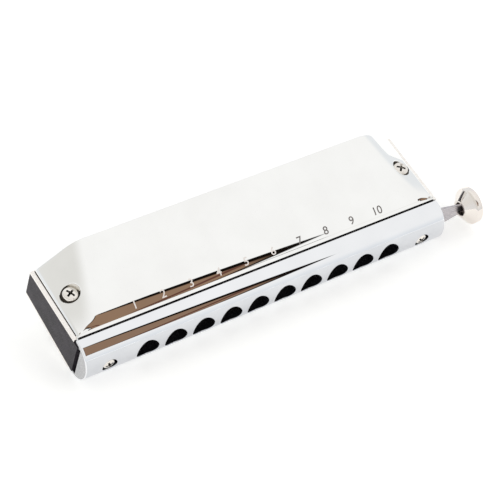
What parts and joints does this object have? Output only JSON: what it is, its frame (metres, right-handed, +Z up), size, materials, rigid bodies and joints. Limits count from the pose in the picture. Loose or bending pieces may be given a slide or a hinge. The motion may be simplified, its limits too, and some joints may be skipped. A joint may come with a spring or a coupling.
{
  "type": "harmonica",
  "caption": "Chromatic mouth organ: chromed covers and round-holed mouthpiece on a black comb with reed plates, and a sprung slide with a push button at one end.",
  "frame": {"origin": "middle of the flat of the lower cover, on which the instrument rests", "axes": "+X along the instrument from the low notes to the slide button, +Y from the mouthpiece to the open rear, +Z up from the table"},
  "size_m": [0.1446, 0.0379, 0.0293],
  "materials": {
    "cover_chrome": "mirror-polished chrome plate",
    "mouth_chrome": "mirror-polished chrome plate, satin ends",
    "button_chrome": "polished nickel plate",
    "plate_nickel": "satin nickel over brass",
    "reed_brass": "ground brass",
    "rivet_brass": "bright brass",
    "valve_film": "matt film",
    "screw_steel": "nickel-plated steel",
    "slide_steel": "fine-brushed nickel-plated steel",
    "spring_steel": "drawn wire",
    "comb_plastic": "moulded black ABS",
    "bumper_silicone": "soft silicone"
  },
  "bodies": {
    "housing": {"comb": "comb_plastic", "cover_nuts": "screw_steel", "cover_screws": "screw_steel", "lower_blow_reeds": "reed_brass", "lower_cover": "cover_chrome", "lower_draw_reeds": "reed_brass", "lower_plate_screws": "screw_steel", "lower_reed_plate": "plate_nickel", "lower_reed_rivets": "rivet_brass", "lower_valves": "valve_film", "mouthpiece": "mouth_chrome", "mouthpiece_screws": "screw_steel", "slide_back_plate": "slide_steel", "slide_bumpers": "bumper_silicone", "slide_channel": "slide_steel", "slide_front_plate": "slide_steel", "slide_spring": "spring_steel", "upper_blow_reeds": "reed_brass", "upper_cover": "cover_chrome", "upper_draw_reeds": "reed_brass", "upper_plate_screws": "screw_steel", "upper_reed_plate": "plate_nickel", "upper_reed_rivets": "rivet_brass", "upper_valves": "valve_film"},
    "slide": {"slide": "slide_steel", "slide_button": "button_chrome"}
  },
  "joints": [
    {"name": "slide_travel", "type": "slide", "parent": "housing", "child": "slide", "axis": [-1, 0, 0], "range_m": [0, 0.0048], "stiffness_N_per_m": 150, "springref_m": -0.004, "deforming": ["slide_spring"]}
  ]
}
